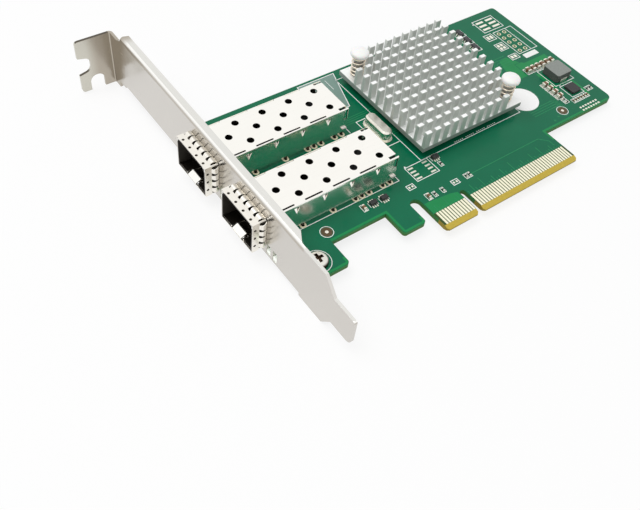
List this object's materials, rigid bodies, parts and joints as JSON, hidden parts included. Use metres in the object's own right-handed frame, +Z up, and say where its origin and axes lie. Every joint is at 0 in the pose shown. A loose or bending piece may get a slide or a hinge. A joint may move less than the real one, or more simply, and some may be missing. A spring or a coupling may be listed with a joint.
{
  "type": "network interface card",
  "caption": "Expansion card with an edge connector, full-height steel bracket, side-by-side module cages and a pin-fin heat sink held by sprung push pins.",
  "frame": {"origin": "middle of the key notch on the mating edge, at the board's component face", "axes": "+X from the bracket to the far end of the board, +Y from the mating edge to the top edge, +Z up from the component face"},
  "size_m": [0.1391, 0.12, 0.0206],
  "materials": {
    "solder_mask": "glossy green solder mask",
    "contact_gold": "gold plate",
    "bracket_steel": "satin nickel plate",
    "screw_steel": "bright plate",
    "cage_nickel": "bright nickel",
    "collar_steel": "spring-hard nickel plate",
    "heatsink_aluminium": "satin",
    "pin_nylon": "satin white",
    "spring_steel": "drawn wire",
    "crystal_can": "satin",
    "dark_moulding": "matt",
    "tinned_metal": "tinned",
    "capacitor_ceramic": "dull tan",
    "resistor_ceramic": "dark glaze",
    "pad_rubber": "soft",
    "light_lens": "clear water-white",
    "sticker_paper": "bare white"
  },
  "bodies": {
    "root": {"circuit_board": "solder_mask", "edge_contacts_front": "contact_gold", "edge_contacts_back": "contact_gold", "bracket": "bracket_steel", "bracket_screws": "screw_steel", "cage_shell_1": "cage_nickel", "cage_shell_2": "cage_nickel", "cage_base_1": "cage_nickel", "cage_base_2": "cage_nickel", "cage_pins": "cage_nickel", "spring_collar_1": "collar_steel", "spring_collar_2": "collar_steel", "heatsink": "heatsink_aluminium", "push_pins": "pin_nylon", "push_pin_springs": "spring_steel", "crystal": "crystal_can", "power_inductor": "dark_moulding", "regulator_chip": "dark_moulding", "switch_packages": "dark_moulding", "network_controller": "dark_moulding", "host_connector_1": "dark_moulding", "host_connector_2": "dark_moulding", "inductor_terminals": "tinned_metal", "host_contacts_1": "tinned_metal", "host_contacts_2": "tinned_metal", "capacitor_terminals": "tinned_metal", "resistor_terminals": "tinned_metal", "rear_capacitor_terminals": "tinned_metal", "switch_leads": "tinned_metal", "capacitor_bodies": "capacitor_ceramic", "rear_capacitor_bodies": "capacitor_ceramic", "resistor_bodies": "resistor_ceramic", "thermal_pad": "pad_rubber", "link_lights": "light_lens", "round_sticker": "sticker_paper"}
  },
  "joints": []
}
